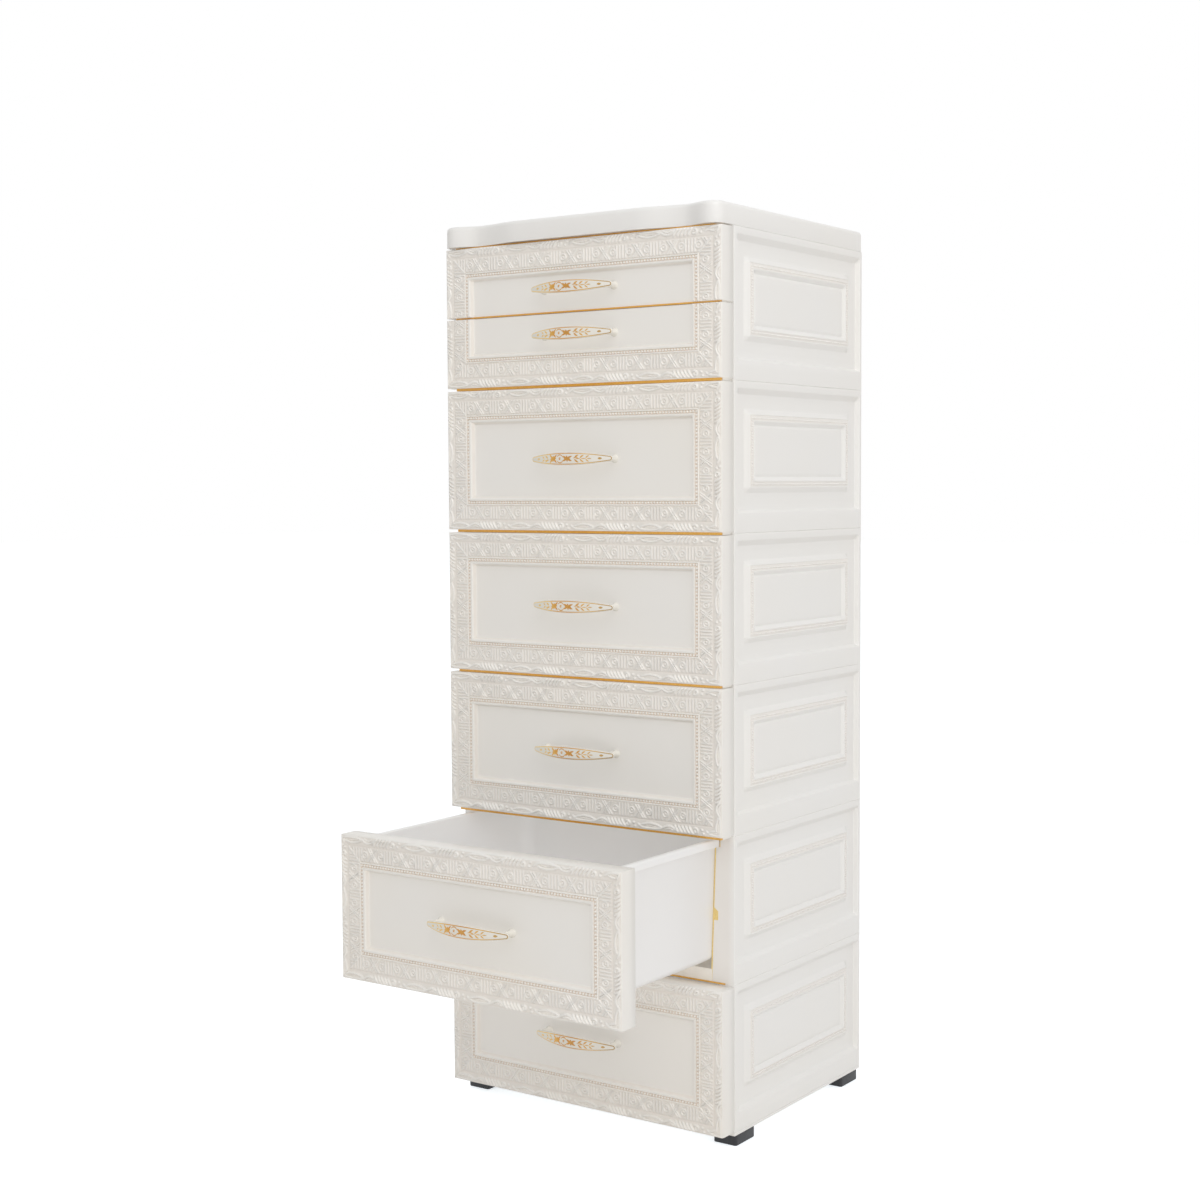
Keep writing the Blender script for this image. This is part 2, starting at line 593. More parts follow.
def front_span(d):
    """Lower and upper edge of a drawer's front, above its tier's floor line."""
    low = SEAM / 2 + (HALF_H + SPLIT if d > TIERS else 0)
    return low, low + (HALF_H if d >= TIERS else FULL_H)


def tub_profile(floor, rim):
    """Rows of (inset, height, height whose plan holds): the floor from below, the outer wall with
    its fillet, the rolled rim, whose plan is that of its top, and the inside down to the floor."""
    turn = np.linspace(0, 90, 7)
    inner_r = FLOOR_R - TUB_WALL
    lip = RIM_OUT - RIM_T
    outside = [(FLOOR_R + 1.0, floor), *rounded(0, floor, FLOOR_R, FLOOR_R, turn),
               (0, rim - RIM_T - 1.2)]
    roll = [(-0.5, rim - RIM_T), (-lip + 0.8, rim - RIM_T), (-lip, rim - RIM_T - 0.8),
            (-lip, rim - RIM_H + 0.4), (-lip - 0.4, rim - RIM_H), (-RIM_OUT + 0.4, rim - RIM_H),
            (-RIM_OUT, rim - RIM_H + 0.4), *rounded(-RIM_OUT, rim, 1.8, -1.8, turn[::-2]),
            *rounded(TUB_WALL, rim, -1.5, -1.5, turn[::2])]
    within = [*rounded(TUB_WALL, floor + TUB_WALL, inner_r, inner_r, turn[::-1]),
              (FLOOR_R + 1.0, floor + TUB_WALL)]
    return [(inset, z, rim if rows is roll else z)
            for rows in (outside, roll, within) for inset, z in rows]


def tub_shells(d):
    """The tub: its profile carried round a plan that is straight at the sides and back and turns
    two round corners, its half-width and length growing with the height."""
    low, high = front_span(d)
    rim = high - RIM_DROP
    floor = low + LOW_FLOOR if d > TIERS else TUB_FLOOR
    rings = []
    for inset, z, level in tub_profile(floor, rim):
        x, r = bay_x(level) - TUB_GAP - inset, TUB_CORNER - inset
        turn = arc(x - r, TUB_BACK - (rim - level) * LEAN - inset - r, r, 0, 12)
        line = np.concatenate([[[-x, FRONT_BACK - 1]], turn * [-1, 1], turn[::-1],
                               [[x, FRONT_BACK - 1]]])
        rings.append(np.column_stack([line, np.full(len(line), z)]))
    index = np.arange(len(rings) * len(rings[0])).reshape(len(rings), -1)
    front = np.concatenate([index[:, 0], index[::-1, -1]])[::-1]
    shells = [(np.concatenate(rings),
               [sheet(index), index[0][None], index[-1][::-1][None], front[None]])]
    inset = FRONT_WALL + PLATE_FIT
    plate = round_rectangle(inset - HALF_W, low + inset, HALF_W - inset, high - inset, 1.0)
    shells.append(pressed(plate, -FRONT_BACK, PLATE_T - FRONT_BACK, 0.4, FACING))
    ear_y = TUB_BACK - TUB_CORNER - EAR_L
    ear = [block((bay_x(rim) + RIM_REACH - RIM_T, ear_y, rim - RIM_H),
                 (notch_x(rim) + EAR_CATCH, ear_y + EAR_L, rim), 0.6)]
    return shells + mirrored(ear) + ear


for d in range(1, DRAWERS + 1):
    moulding(f"tub_{d}", lifted(tub_shells(d), drawer_base(d)), f"drawer_{d}", tub_plastic,
             f"drawer_tub_{d}")

# ---------- drawer fronts ----------
# Each front is a thick hollow moulding of the same plastic, carved like a picture frame: a running
# border of long curled leaves and slanted strokes, a band of crosses, rings and flutes, a fillet,
# a row of beads and a slope down to the flat panel. The two half-height fronts share one frame.

FRONT_WHITE = (0.89, 0.877, 0.852)
front_plastic = moulded_plastic("front_plastic", FRONT_WHITE, (1.0, 0.98, 0.94), 0.36, hollow=TAN)
# distances inwards from the front's edge
LEAF_W, BAND_AT, BAND_W = 11.0, 11.5, 17.0
FILLET_AT, GROOVE_AT, LIP_AT, DROP_AT, PANEL_AT = 28.3, 30.4, 33.4, 36.0, 39.2
GROUND, FILLET_RISE, LIP_RISE, PANEL_DEPTH = 2.4, 2.1, 2.2, 6.0
SIDE_R, EDGE_R = 5.0, 2.5
LEAF_PERIOD, BAND_PERIOD = 90.0, 45.0
LEAF_START, BAND_START = 45.5, 3.0
# on the uprights the carving is at UPRIGHT_START where z is UPRIGHT_Z, and a little closer
UPRIGHT_START, UPRIGHT_Z, UPRIGHT_PACE = 58.5, 46.0, 90 / 80
FINE = 0.25                                 # between the points of the carving's height maps

# strokes of one length of the leaf border: (half-width, height, points of the stroke)
LEAF_STROKES = [
    *[(1.35, 1.5, [(s, 8.6), (s + 1.2, 6.2), (s + 2.9, 3.6), (s + 5.2, 1.4)])
      for s in (3.6, 8.3, 13.0, 17.7, 22.4)],
    (1.2, 1.3, [(31 + (3.4 - 0.18 * k) * math.cos(2.6 - 0.5 * k),
                 4.9 + (3.4 - 0.18 * k) * math.sin(2.6 - 0.5 * k)) for k in range(13)]),
    (1.5, 1.2, [(38.5, 6.6), (38.7, 6.6)]), (1.4, 1.2, [(40.5, 2.4), (40.8, 2.4)]),
    (1.2, 1.1, [(44.5, 6.0), (46.5, 4.6), (48.5, 3.6)]),
    (1.3, 1.5, [(47, 3.6), (53, 2.2), (62, 1.8), (70, 2.2), (77, 3.4)]),
    (1.3, 1.4, [(48, 4.4), (54, 6.6), (62, 7.8), (70, 6.8), (77, 4.0)]),
    (0.7, 0.8, [(54, 4.2), (62, 4.8), (70, 4.2)]),
    (1.4, 1.5, [(77, 3.0), (81, 5.6), (86, 7.2), (91, 6.0), (95, 2.6)]),
    (0.9, 1.0, [(80, 2.2), (84, 4.0), (88, 4.2), (91, 2.4)]),
]
# strokes of one length of the band: crossed pairs of diagonals, two rings and four flutes
BAND_STROKES = [
    *[(0.9, 1.2, [(c - way * 5.2, 1.4), (c + way * 5.2, 15.6)])
      for c in (-1.6, 1.6) for way in (-1, 1)],
    *[(0.9, 1.25, [(r + 3.5 * math.cos(t), 8.5 + 3.5 * math.sin(t))
                   for t in np.linspace(0, 6.6, 15)]) for r in (-11.5, 11.5)],
    *[(1.3, 1.3, [(r - 0.1, 8.5), (r + 0.1, 8.5)]) for r in (-11.5, 11.5)],
    *[(0.95, 1.2, [(s, 2), (s, 15)]) for s in (16.5, 20.5, 24.5, 28.5)],
    *[(1.0, 0.9, [(s, v), (s + 0.1, v)]) for s in (-11.5, 11.5) for v in (2.2, 14.8)],
]


def smooth_line(line):
    """A stroke's points, six to a stretch and averaged with their neighbours three times, and
    their places along it."""
    line = np.array(line, float)
    t = np.linspace(0, len(line) - 1, 6 * (len(line) - 1) + 1)
    knots = np.arange(len(line))
    line = np.stack([np.interp(t, knots, line[:, 0]), np.interp(t, knots, line[:, 1])], 1)
    for _ in range(3):
        line[1:-1] = (line[:-2] + 2 * line[1:-1] + line[2:]) / 4
    return line, t


def stroke_heights(strokes, period, width):
    """Height map of one length of carving. Each stroke is a rounded ridge along a smooth line: its
    height is the root of one less the square of distance over half-width, and fades at its ends."""
    s, v = np.meshgrid(np.arange(0, period, FINE), np.arange(0, width + FINE, FINE),
                       indexing="ij")
    total = np.zeros_like(s)
    for half, height, line in strokes:
        line, t = smooth_line(line)
        fade = np.ones(len(t))
        if t[-1] > 1.5:
            fade = np.clip(np.minimum(t, t[-1] - t) / 0.9 + 0.45, 0, 1)
        reach = half + 0.5
        for shift in (-period, 0, period):
            for k in range(len(line) - 1):
                p, q = line[k] + [shift, 0], line[k + 1] + [shift, 0]
                low, high = min(p[0], q[0]) - reach, max(p[0], q[0]) + reach
                if high < 0 or low > period:
                    continue
                i0 = int(np.clip(low / FINE, 0, len(s)))
                i1 = int(np.clip(high / FINE + 2, 0, len(s)))
                ps, pv = s[i0:i1] - p[0], v[i0:i1] - p[1]
                run = q - p
                along = np.clip((ps * run[0] + pv * run[1]) / max(run @ run, 1e-9), 0, 1)
                off = np.hypot(ps - along * run[0], pv - along * run[1])
                off /= half * (fade[k] * 0.4 + 0.6)
                ridge = height * fade[k] * np.sqrt(np.clip(1 - off * off, 0, 1))
                total[i0:i1] = np.maximum(total[i0:i1], ridge)
    return total


leaf_map = stroke_heights(LEAF_STROKES, LEAF_PERIOD, LEAF_W)
band_map = stroke_heights(BAND_STROKES, BAND_PERIOD, BAND_W)


def looked_up(heights, period, s, v):
    """The height map read between its points, repeating along s."""
    i = (s % period) / FINE
    j = np.clip(v / FINE, 0, heights.shape[1] - 1.001)
    i0, j0 = i.astype(int), j.astype(int)
    fi, fj = i - i0, j - j0
    i0, i1 = i0 % len(heights), (i0 + 1) % len(heights)
    return ((1 - fi) * ((1 - fj) * heights[i0, j0] + fj * heights[i0, j0 + 1])
            + fi * ((1 - fj) * heights[i1, j0] + fj * heights[i1, j0 + 1]))


def eased(t):
    """From 0 to 1 with level ends."""
    t = np.clip(t, 0, 1)
    return t * t * (3 - 2 * t)


def dome(t):
    """Half a circle over t from -1 to 1, and 0 outside."""
    return np.sqrt(np.clip(1 - t ** 2, 0, 1))


def frame_depth(x, z):
    """Depth of the carved frame of a whole tier, x from its middle and z from its lower edge. It
    depends on v, the distance to the nearest edge: a low dome with the leaves on it, the flat band
    with its strokes and a ridge along the mitre, a half-round fillet, the groove for the beads,
    the lip, and an eased slope down to the panel."""
    from_side, from_end = HALF_W - np.abs(x), np.minimum(z, FULL_H - z)
    v = np.minimum(from_side, from_end)
    s = np.where(from_side <= from_end, UPRIGHT_START + (z - UPRIGHT_Z) * UPRIGHT_PACE, x + HALF_W)
    leaves = looked_up(leaf_map, LEAF_PERIOD, s - LEAF_START, v)
    rise = np.where(v < LEAF_W, 0.5 * dome(v / LEAF_W * 2 - 1) + 1.35 * leaves, 0)
    strokes = looked_up(band_map, BAND_PERIOD, s - BAND_START, v - BAND_AT)
    mitre = 1.2 * dome((from_side - from_end) / 1.3)
    rise = np.where((v >= BAND_AT) & (v < FILLET_AT), 0.3 + np.maximum(strokes, mitre), rise)
    fillet = FILLET_RISE * dome((v - FILLET_AT) / ((GROOVE_AT - FILLET_AT) / 2) - 1)
    rise = np.where((v >= FILLET_AT) & (v < GROOVE_AT), fillet, rise)
    rise = np.where(v >= GROOVE_AT, LIP_RISE * eased((v - LIP_AT) / 0.7), rise)
    sink = (PANEL_DEPTH - GROUND + LIP_RISE) * eased((v - DROP_AT) / (PANEL_AT - DROP_AT))
    return GROUND - rise + sink


# distances from the outer edge at which the frame is sampled, and from an edge with no frame
STRIP_ROWS = np.concatenate([
    [0, 0.25, 0.6, 1.0], np.linspace(1.4, LEAF_W, 18), [11.4], np.linspace(11.9, 28.0, 23),
    [28.3, 28.6, 29.0, 29.35, 29.7, 30.1, 30.4, 30.8, 33.2, 33.45, 33.8, 34.1, 35.2],
    [36.0, 36.5, 37.0, 37.5, 38.0, 38.5, 39.2, 40.2]])
END_ROWS = np.array([0, 0.25, 0.6, 1.1, 1.8, 2.5, 3.2])
ALONG, WIDE = 0.8, 450                      # step along the uprights, and points along the others


def frame_strips(low, high, has_foot, has_head):
    """Grids of (x, z, turned round): two upright strips of the frame and up to two level ones, cut
    to a mitre by shortening each row by its own distance from the edge, and a plain narrow strip
    along an edge that has no frame."""
    rows, end = STRIP_ROWS[None], END_ROWS[:, None]

    def spread(start, stop, count):
        return start + (stop - start) * np.linspace(0, 1, count)[:, None]

    z = spread(low + (rows if has_foot else END_ROWS[-1] + 0 * rows),
               high - (rows if has_head else END_ROWS[-1] + 0 * rows), round((high - low) / ALONG))
    if not has_foot:
        z = np.concatenate([low + end[:-1] + 0 * rows, z])
    if not has_head:
        z = np.concatenate([z, high - end[-2::-1] + 0 * rows])
    x = HALF_W - rows + 0 * z
    grids = [(x, z, False), (-x, z, True)]
    wide = spread(-HALF_W + rows, HALF_W - rows, WIDE)
    if has_head:
        grids.append((wide, high - rows + 0 * wide, True))
    if has_foot:
        grids.append((wide, low + rows + 0 * wide, False))
    if not (has_foot and has_head):
        inner = HALF_W - STRIP_ROWS[-1] + 0 * END_ROWS[None]
        x = spread(-inner, inner, 25)
        z = high - END_ROWS if has_foot else low + END_ROWS
        grids.append((x, z[None] + 0 * x, has_foot))
    return grids


def welded(grids):
    """Points (x, z) and blocks of faces of grids, joined where their points meet."""
    points, faces, at = [], [], 0
    for x, z, turned in grids:
        quads = sheet(at + np.arange(x.size).reshape(x.shape))[:, [0, 3, 2, 1]]
        faces.append(quads[:, ::-1] if turned else quads)
        points.append(np.stack([x.ravel(), z.ravel()], 1))
        at += x.size
    flat = np.concatenate(points)
    _, first, same = np.unique(np.round(flat * 500).astype(np.int64), axis=0, return_index=True,
                               return_inverse=True)
    same = same.ravel()
    return flat[first], [same[part] for part in faces]


def open_loops(faces):
    """The loops of points round the openings: the edges of one face only, put in order."""
    quads = np.concatenate(faces)
    edges = np.concatenate([quads[:, [k, (k + 1) % 4]] for k in range(4)])
    count = edges.max() + 1
    following = dict(edges[~np.isin(edges @ [count, 1], edges @ [1, count])].tolist())
    loops = []
    while following:
        here, loop = next(iter(following)), []
        while here in following:
            loop.append(here)
            here = following.pop(here)
        loops.append(np.array(loop))
    return loops


def front_shells(d):
    """The front: mitred strips of the frame sampled finely along and across, a flat panel inside
    them, side walls back to a shallow hollow, and the beads."""
    low, high = [z - SEAM / 2 for z in front_span(d)]
    flat, faces = welded(frame_strips(low, high, d <= TIERS, d != TIERS))
    depth = np.maximum.reduce([
        frame_depth(flat[:, 0], flat[:, 1]), edge_round(HALF_W - np.abs(flat[:, 0]), SIDE_R),
        edge_round(flat[:, 1] - low, EDGE_R), edge_round(high - flat[:, 1], EDGE_R)])
    points = np.column_stack([flat[:, 0], FRONT_Y + depth, flat[:, 1]])
    outer, panel = sorted(open_loops(faces), key=lambda loop: -np.ptp(points[loop, 0]))[:2]

    # side walls, rear rim and the floor of the hollow: the outline again, each time at another
    # depth and drawn in by another inset
    centre = np.array([0, 0, (low + high) / 2])
    reach = np.array([HALF_W, 1, (high - low) / 2])
    rings = []
    for y, inset in ((FRONT_BACK - 0.5, 0), (FRONT_BACK, 0.5), (FRONT_BACK, FRONT_WALL),
                     (FRONT_Y + PANEL_DEPTH + FRONT_WALL, FRONT_WALL)):
        ring = (points[outer] - centre) * (1 - inset / reach) + centre
        ring[:, 1] = y
        rings.append(ring)
    behind = len(points) + np.arange(len(rings) * len(outer)).reshape(len(rings), -1)
    walls = tube(np.vstack([outer, behind]))[:, [1, 0, 3, 2]]
    points = np.concatenate([points, *rings]) + [0, 0, SEAM / 2]
    faces += [panel[::-1][None], walls, behind[-1][None]]

    at = (GROOVE_AT + LIP_AT) / 2
    row = bead_row(at - HALF_W, HALF_W - at, at, FULL_H - at, 3.9, -GROUND)
    row = row[(row[:, 1] > low + 1.6) & (row[:, 1] < high - 1.6)]
    return [(points, faces), beads(row, 1.45, 2.1, FACING, (0, FRONT_Y, SEAM / 2), around=10)]


def front_recess(shells):
    """By depth below the crests, and by place: less of it in the carving than beside the beads.
    None at the outer edge, on the panel or behind."""
    spots = np.concatenate([points for points, _ in shells])
    depth = spots[:, 1] - FRONT_Y
    v = np.minimum.reduce([HALF_W - np.abs(spots[:, 0]), spots[:, 2] - SEAM / 2,
                           FULL_H + SEAM / 2 - spots[:, 2]])
    share = np.interp(v, [FILLET_AT, GROOVE_AT, LIP_AT, LIP_AT + 1], [0.38, 1, 1, 0.3])
    on_frame = (v > 0.7) & (v < PANEL_AT - 0.3) & (depth < PANEL_DEPTH + 0.1)
    return np.where(on_frame, np.clip((depth - 1.0) / 1.4, 0, 1) * share, 0)


for d in range(1, DRAWERS + 1):
    shells = front_shells(d)
    front = moulding(f"carved_front_{d}", lifted(shells, drawer_base(d)), f"drawer_{d}",
                     front_plastic, f"drawer_front_{d}", sharp=50)
    mark_recess(front, front_recess(shells))

# ---------- handles ----------
# A bowed white plate, a long lens with round ends, on two posts that stand on the panel. Gold foil
# is printed on its face: an outline just inside the edge, two stars, a ring and a few leaves.

PLATE_L, PLATE_H, END_R, BOW_T, BOW, REACH, SPAN = 112.0, 14.5, 3.2, 4.0, 12.0, 22.0, 96.0
BOW_R = ((PLATE_L / 2) ** 2 + BOW ** 2) / (2 * BOW)
BOW_Y = FRONT_Y - REACH + BOW_R
HALF_FRONT_HANDLE = 25                      # from the outer edge of a half-height front
handle_plastic = moulded_plastic("handle_plastic", (0.83, 0.81, 0.76), (1.0, 0.98, 0.94), 0.22,
                                 skin=0.02)


def handle_z(d):
    """Height of a handle's middle above its tier's floor line."""
    low, high = front_span(d)
    if d < TIERS:
        return (low + high) / 2
    return high - HALF_FRONT_HANDLE if d == TIERS else low + HALF_FRONT_HANDLE


def half_height(x):
    """Half the plate's height: a flat arc, closed by a quarter circle at the ends."""
    end = PLATE_L / 2 - END_R
    rise = PLATE_H / 2 - END_R
    r = (end ** 2 + rise ** 2) / (2 * rise)
    body = np.sqrt(r * r - np.minimum(np.abs(x), end) ** 2) - r + PLATE_H / 2
    tip = np.sqrt(np.clip(END_R ** 2 - np.clip(np.abs(x) - end, 0, None) ** 2, 0, None))
    return np.where(np.abs(x) > end, tip, body)


def on_bow(x, lift):
    """Where a place along the plate lies, lift in front of the bow's outer face."""
    turn = np.arcsin(x / BOW_R)
    return (BOW_R + lift) * np.sin(turn), BOW_Y - (BOW_R + lift) * np.cos(turn)


def plate_size(x):
    """Half the plate's height, and half its thickness, which falls off at the round ends."""
    tall = np.maximum(half_height(x), 0.05)
    return tall, BOW_T / 2 * np.clip(tall / END_R, 0.3, 1) ** 0.3


def face_lift(x, z):
    """How far in front of the bow's outer line the plate's face lies, at a place on it: the upper
    half of the rounded section of plate_shell."""
    tall, thick = plate_size(x)
    up = np.clip(np.abs(z) / tall, 0, 1)
    return -BOW_T / 2 + thick * (1 - up ** 4) ** 0.225 - 0.12 - 0.3 * up ** 2


def plate_shell():
    """The plate: a rounded rectangle, thinner towards the ends, carried along the bow."""
    along = np.sin(np.pi * (np.arange(61) / 60 - 0.5)) * (PLATE_L / 2 - 0.02)
    round_at = 2 * np.pi * np.arange(36) / 36
    c, s = np.cos(round_at), np.sin(round_at)
    up = np.sign(c) * np.abs(c) ** 0.5
    out = np.sign(s) * np.abs(s) ** 0.45
    tall, thick = plate_size(along)
    lift = -BOW_T / 2 + thick[:, None] * out - 0.12 - 0.3 * up ** 2 * (out > 0)
    x, y = on_bow(along[:, None] + 0 * lift, lift)
    points = np.stack([x, y, tall[:, None] * up], -1).reshape(-1, 3)
    index = np.arange(len(points)).reshape(61, 36)
    return points, [tube(index), index[0][::-1][None], index[-1][None]]


def post_shell(x):
    """A post: a flared foot on the panel, a waist, and a head inside the plate."""
    foot_y = FRONT_Y + PANEL_DEPTH
    length = foot_y - on_bow(np.array(x), -2.2)[1]
    profile = [(0.0, 5.0), (0.7, 5.0), (1.4, 4.4), (3.0, 3.85), (6.0, 3.5), (length * 0.6, 3.45),
               (length, 3.5)]
    turn = 2 * np.pi * np.arange(28) / 28
    rings = [np.stack([x + r * np.cos(turn), r * np.sin(turn)], 1) for _, r in profile]
    return loft(rings, [h for h, _ in profile], FACING, (0, foot_y, 0))


def on_face(spot, lift):
    """Points of (x, z) laid on the bowed face, lift in front of it."""
    x, y = on_bow(spot[:, 0], face_lift(spot[:, 0], spot[:, 1]) + lift)
    return np.stack([x, y, spot[:, 1]], 1)


FOIL = (-0.1, 0.06)                         # the foil's back and front, in front of the face


def foil_ring(edge, inset, width):
    """A closed strip of foil between an outline drawn in by inset and by inset plus width."""
    near, far = drawn_in(edge, inset), drawn_in(edge, inset + width)
    points = np.concatenate([on_face(near, FOIL[0]), on_face(near, FOIL[1]),
                             on_face(far, FOIL[1]), on_face(far, FOIL[0])])
    index = np.arange(len(points)).reshape(4, -1)
    return points, [tube(np.vstack([index, index[:1]]))]


def ribbon(line, width):
    """A strip of foil along a line of (x, z), its width following the line, laid on the bowed face
    of the plate."""
    line = np.asarray(line, float)
    ahead = np.gradient(line, axis=0)
    ahead /= np.linalg.norm(ahead, axis=1)[:, None]
    across = np.stack([-ahead[:, 1], ahead[:, 0]], 1)
    across *= np.broadcast_to(width, len(line))[:, None] / 2
    sides = [on_face(line + side * across, lift)
             for side, lifts in ((-1, FOIL), (1, FOIL[::-1])) for lift in lifts]
    index = np.arange(4 * len(line)).reshape(-1, 4)
    return np.stack(sides, 1).reshape(-1, 3), [tube(index)[:, [0, 3, 2, 1]], index[0][None],
                                               index[-1][::-1][None]]


def curl(x, z, r0, r1, start, sweep, width, count=22):
    """A spiral round (x, z) whose radius runs from r0 to r1, and its width, full in the middle."""
    t = np.linspace(0, 1, count)
    angle = np.radians(start + sweep * t)
    r = r0 + (r1 - r0) * t
    line = np.stack([x + r * np.cos(angle), z + r * np.sin(angle)], 1)
    return line, width * (0.45 + 0.75 * np.sin(np.pi * t) ** 0.6)


def leaf(x, z, length, heading, bend, width, count=12):
    """A leaf: a short arc from (x, z), and its width, full in the middle."""
    t = np.linspace(0, 1, count)
    angle = np.radians(heading + bend * t)
    steps = length / (count - 1) * np.stack([np.cos(angle), np.sin(angle)], 1)
    line = np.array([x, z]) + np.concatenate([[[0, 0]], np.cumsum(steps, 0)[:-1]])
    return line, 0.12 + width * np.sin(np.pi * np.clip(t * 0.92 + 0.06, 0, 1)) ** 0.9


def foil_shells():
    """The print: a line round the edge, two stars of leaves with a ring between them, a branch to
    the right, a shorter one to the left, and a small lozenge near each end."""
    x = np.sin(np.pi * (np.linspace(0, 1, 81)[1:-1] - 0.5)) * (PLATE_L / 2 - 0.01)
    rim = np.stack([x, half_height(x)], 1)
    curls = [(-8.0, 0.0, 4.6, 4.4, 150, -120, 0.9), (-8.0, 0.0, 4.6, 4.4, -30, -120, 0.9),
             (-8.0, 0.0, 1.3, 0.5, 20, 330, 1.0), (14.0, -4.4, 6.0, 5.4, 128, -78, 0.7),
             (-28.0, 4.2, 6.4, 6.0, 232, 78, 0.7)]
    rays = ((32, 7.2), (148, 7.2), (212, 7.0), (328, 7.0), (0, 4.6), (180, 4.6), (90, 3.4),
            (270, 3.4))
    leaves = [(star, 0.1, length, heading, bend if heading % 180 < 90 else -bend, 2.0)
              for star, bend in ((-18.0, 24), (2.0, -24)) for heading, length in rays]
    for k, (start, length) in enumerate(((12.0, 6.4), (19.0, 5.8), (26.0, 4.8))):
        leaves += [(start, side * 0.5, length, side * 52, side * -34, 1.9 - 0.25 * k)
                   for side in (1, -1)]
        leaves.append((start + 1.5, 0.0, 5.4, 0, 0, 1.0))
    for k, (start, length) in enumerate(((-26.5, 5.0), (-32.5, 3.8))):
        leaves += [(start, side * 0.4, length, 180 - side * 50, side * 34, 1.7 - 0.2 * k)
                   for side in (1, -1)]
    leaves += [(side * 40.0, 0, side * 4.6, 0, 0, 2.4) for side in (1, -1)]
    return [foil_ring(np.concatenate([rim * [1, -1], rim[::-1]]), 0.7, 0.95),
            *[ribbon(*curl(*numbers)) for numbers in curls],
            *[ribbon(*leaf(*numbers)) for numbers in leaves]]


def gilt(name, bands, span, metal, roughness):
    """A worn gilding. Its colour follows bands, (place along x over span, colour), darkened by a
    fine noise."""
    material, tree, shader = finish(name)
    where = wired(tree, "TexCoord", "Object")
    along = wired(tree, "MapRange", "Result", From_Min=-span, From_Max=span,
                  Value=wired(tree, "SeparateXYZ", "X", Vector=where))
    tone = wired(tree, "ValToRGB", "Color", Fac=along)
    ramp = tone.node.color_ramp.elements
    while len(ramp) < len(bands):
        ramp.new(0.5)
    for element, (place, colour) in zip(ramp, bands):
        element.position, element.color = place, (*colour, 1)
    worn = wired(tree, "TexNoise", "Fac", Scale=420.0, Vector=where)
    dimmed = wired(tree, "Mix", "Result", {**COLOURS, "blend_type": "MULTIPLY"}, Factor=worn,
                   A=tone, B=(0.76, 0.62, 0.42, 1))
    feed(shader, {"Metallic": metal, "Roughness": roughness, "Base Color": dimmed})
    return material


gold_foil = gilt("gold_foil", [
    (0.0, (0.95, 0.80, 0.42)), (0.24, (0.90, 0.66, 0.22)), (0.36, (0.74, 0.40, 0.08)),
    (0.55, (0.64, 0.34, 0.08)), (0.72, (0.78, 0.52, 0.17)), (1.0, (0.42, 0.30, 0.13))],
    0.056, 0.3, 0.35)
handle_solid = [plate_shell(), post_shell(-SPAN / 2), post_shell(SPAN / 2)]
foil = foil_shells()
for d in range(1, DRAWERS + 1):
    place = np.array(drawer_base(d)) + [0, 0, handle_z(d)]
    moulding(f"bow_handle_{d}", lifted(handle_solid, place), f"drawer_{d}",
             handle_plastic, f"handle_{d}")
    moulding(f"gold_print_{d}", lifted(foil, place), f"drawer_{d}", gold_foil)

# ---------- handle screws ----------
# Two zinc-plated cross-head screws to a handle, driven from inside the tub.

screw_steel, tree, shader = finish("screw_steel")
brush = wired(tree, "TexNoise", "Fac", Scale=900.0, Vector=wired(tree, "TexCoord", "Object"))
feed(shader, {"Metallic": 1.0, "Base Color": (0.62, 0.62, 0.63, 1),
              "Roughness": wired(tree, "MapRange", "Result", To_Min=0.25, To_Max=0.45,
                                 Value=brush)})
for d in range(1, DRAWERS + 1):
    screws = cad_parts[f"handle_screws_{d}"]
    screws.data.materials.clear()
    screws.data.materials.append(screw_steel)

# ---------- gilt strips ----------
# Thin gilded strips: one set back under each front from the third up, with the front's own
# plastic filling its right-hand end, one under the lid, and on the casing a lining of the slot on
# either side of every tub and a line along every rail.

STRIP_X, STRIP_END, LIP_X = 178, 186.5, (184, 187.5)
SLOT_GAP = 1.7                              # between the bay's edge and the lining
STRIP_DROP, SPLIT_DROP = 3.0, 1.4           # how far a strip hangs below its front
gilding = gilt("gilding", [(0.0, (0.86, 0.50, 0.12)), (0.5, (0.80, 0.42, 0.06)),
                           (1.0, (0.88, 0.54, 0.14))], 0.19, 0.2, 0.4)
slot_gilding = gilt("slot_gilding", [(0.0, (0.98, 0.80, 0.36)), (1.0, (0.98, 0.80, 0.36))],
                    0.19, 0.1, 0.45)


def slot_lining(tier):
    """The strip that fills most of the slot beside a tub, from the stile's edge to 0.3 mm short of
    the wall and the rim. It spans the lower notch where no rim runs in it."""
    inner = [(bay_x(0) - SLOT_GAP, 0.2)]
    for rim in GROOVE_RIMS if tier == TIERS else GROOVE_RIMS[1:]:
        low, top, notch = rim - RIM_H - RIM_SEAT, rim + GROOVE_HEAD, notch_x(rim) - 1.0
        inner += [(bay_x(low) - SLOT_GAP, low - 0.05), (notch, low - 0.05), (notch, top)]
        inner.append((bay_x(top) - SLOT_GAP, top + 4) if top + 6 < TIER_H
                     else (notch - 3, TIER_H - 0.2))
    outline = np.array(inner + stile_edge()[::-1])
    return loft([outline, outline], [0.3 - CASING_Y - STILE_T, -CASING_Y - 0.6], FACING)


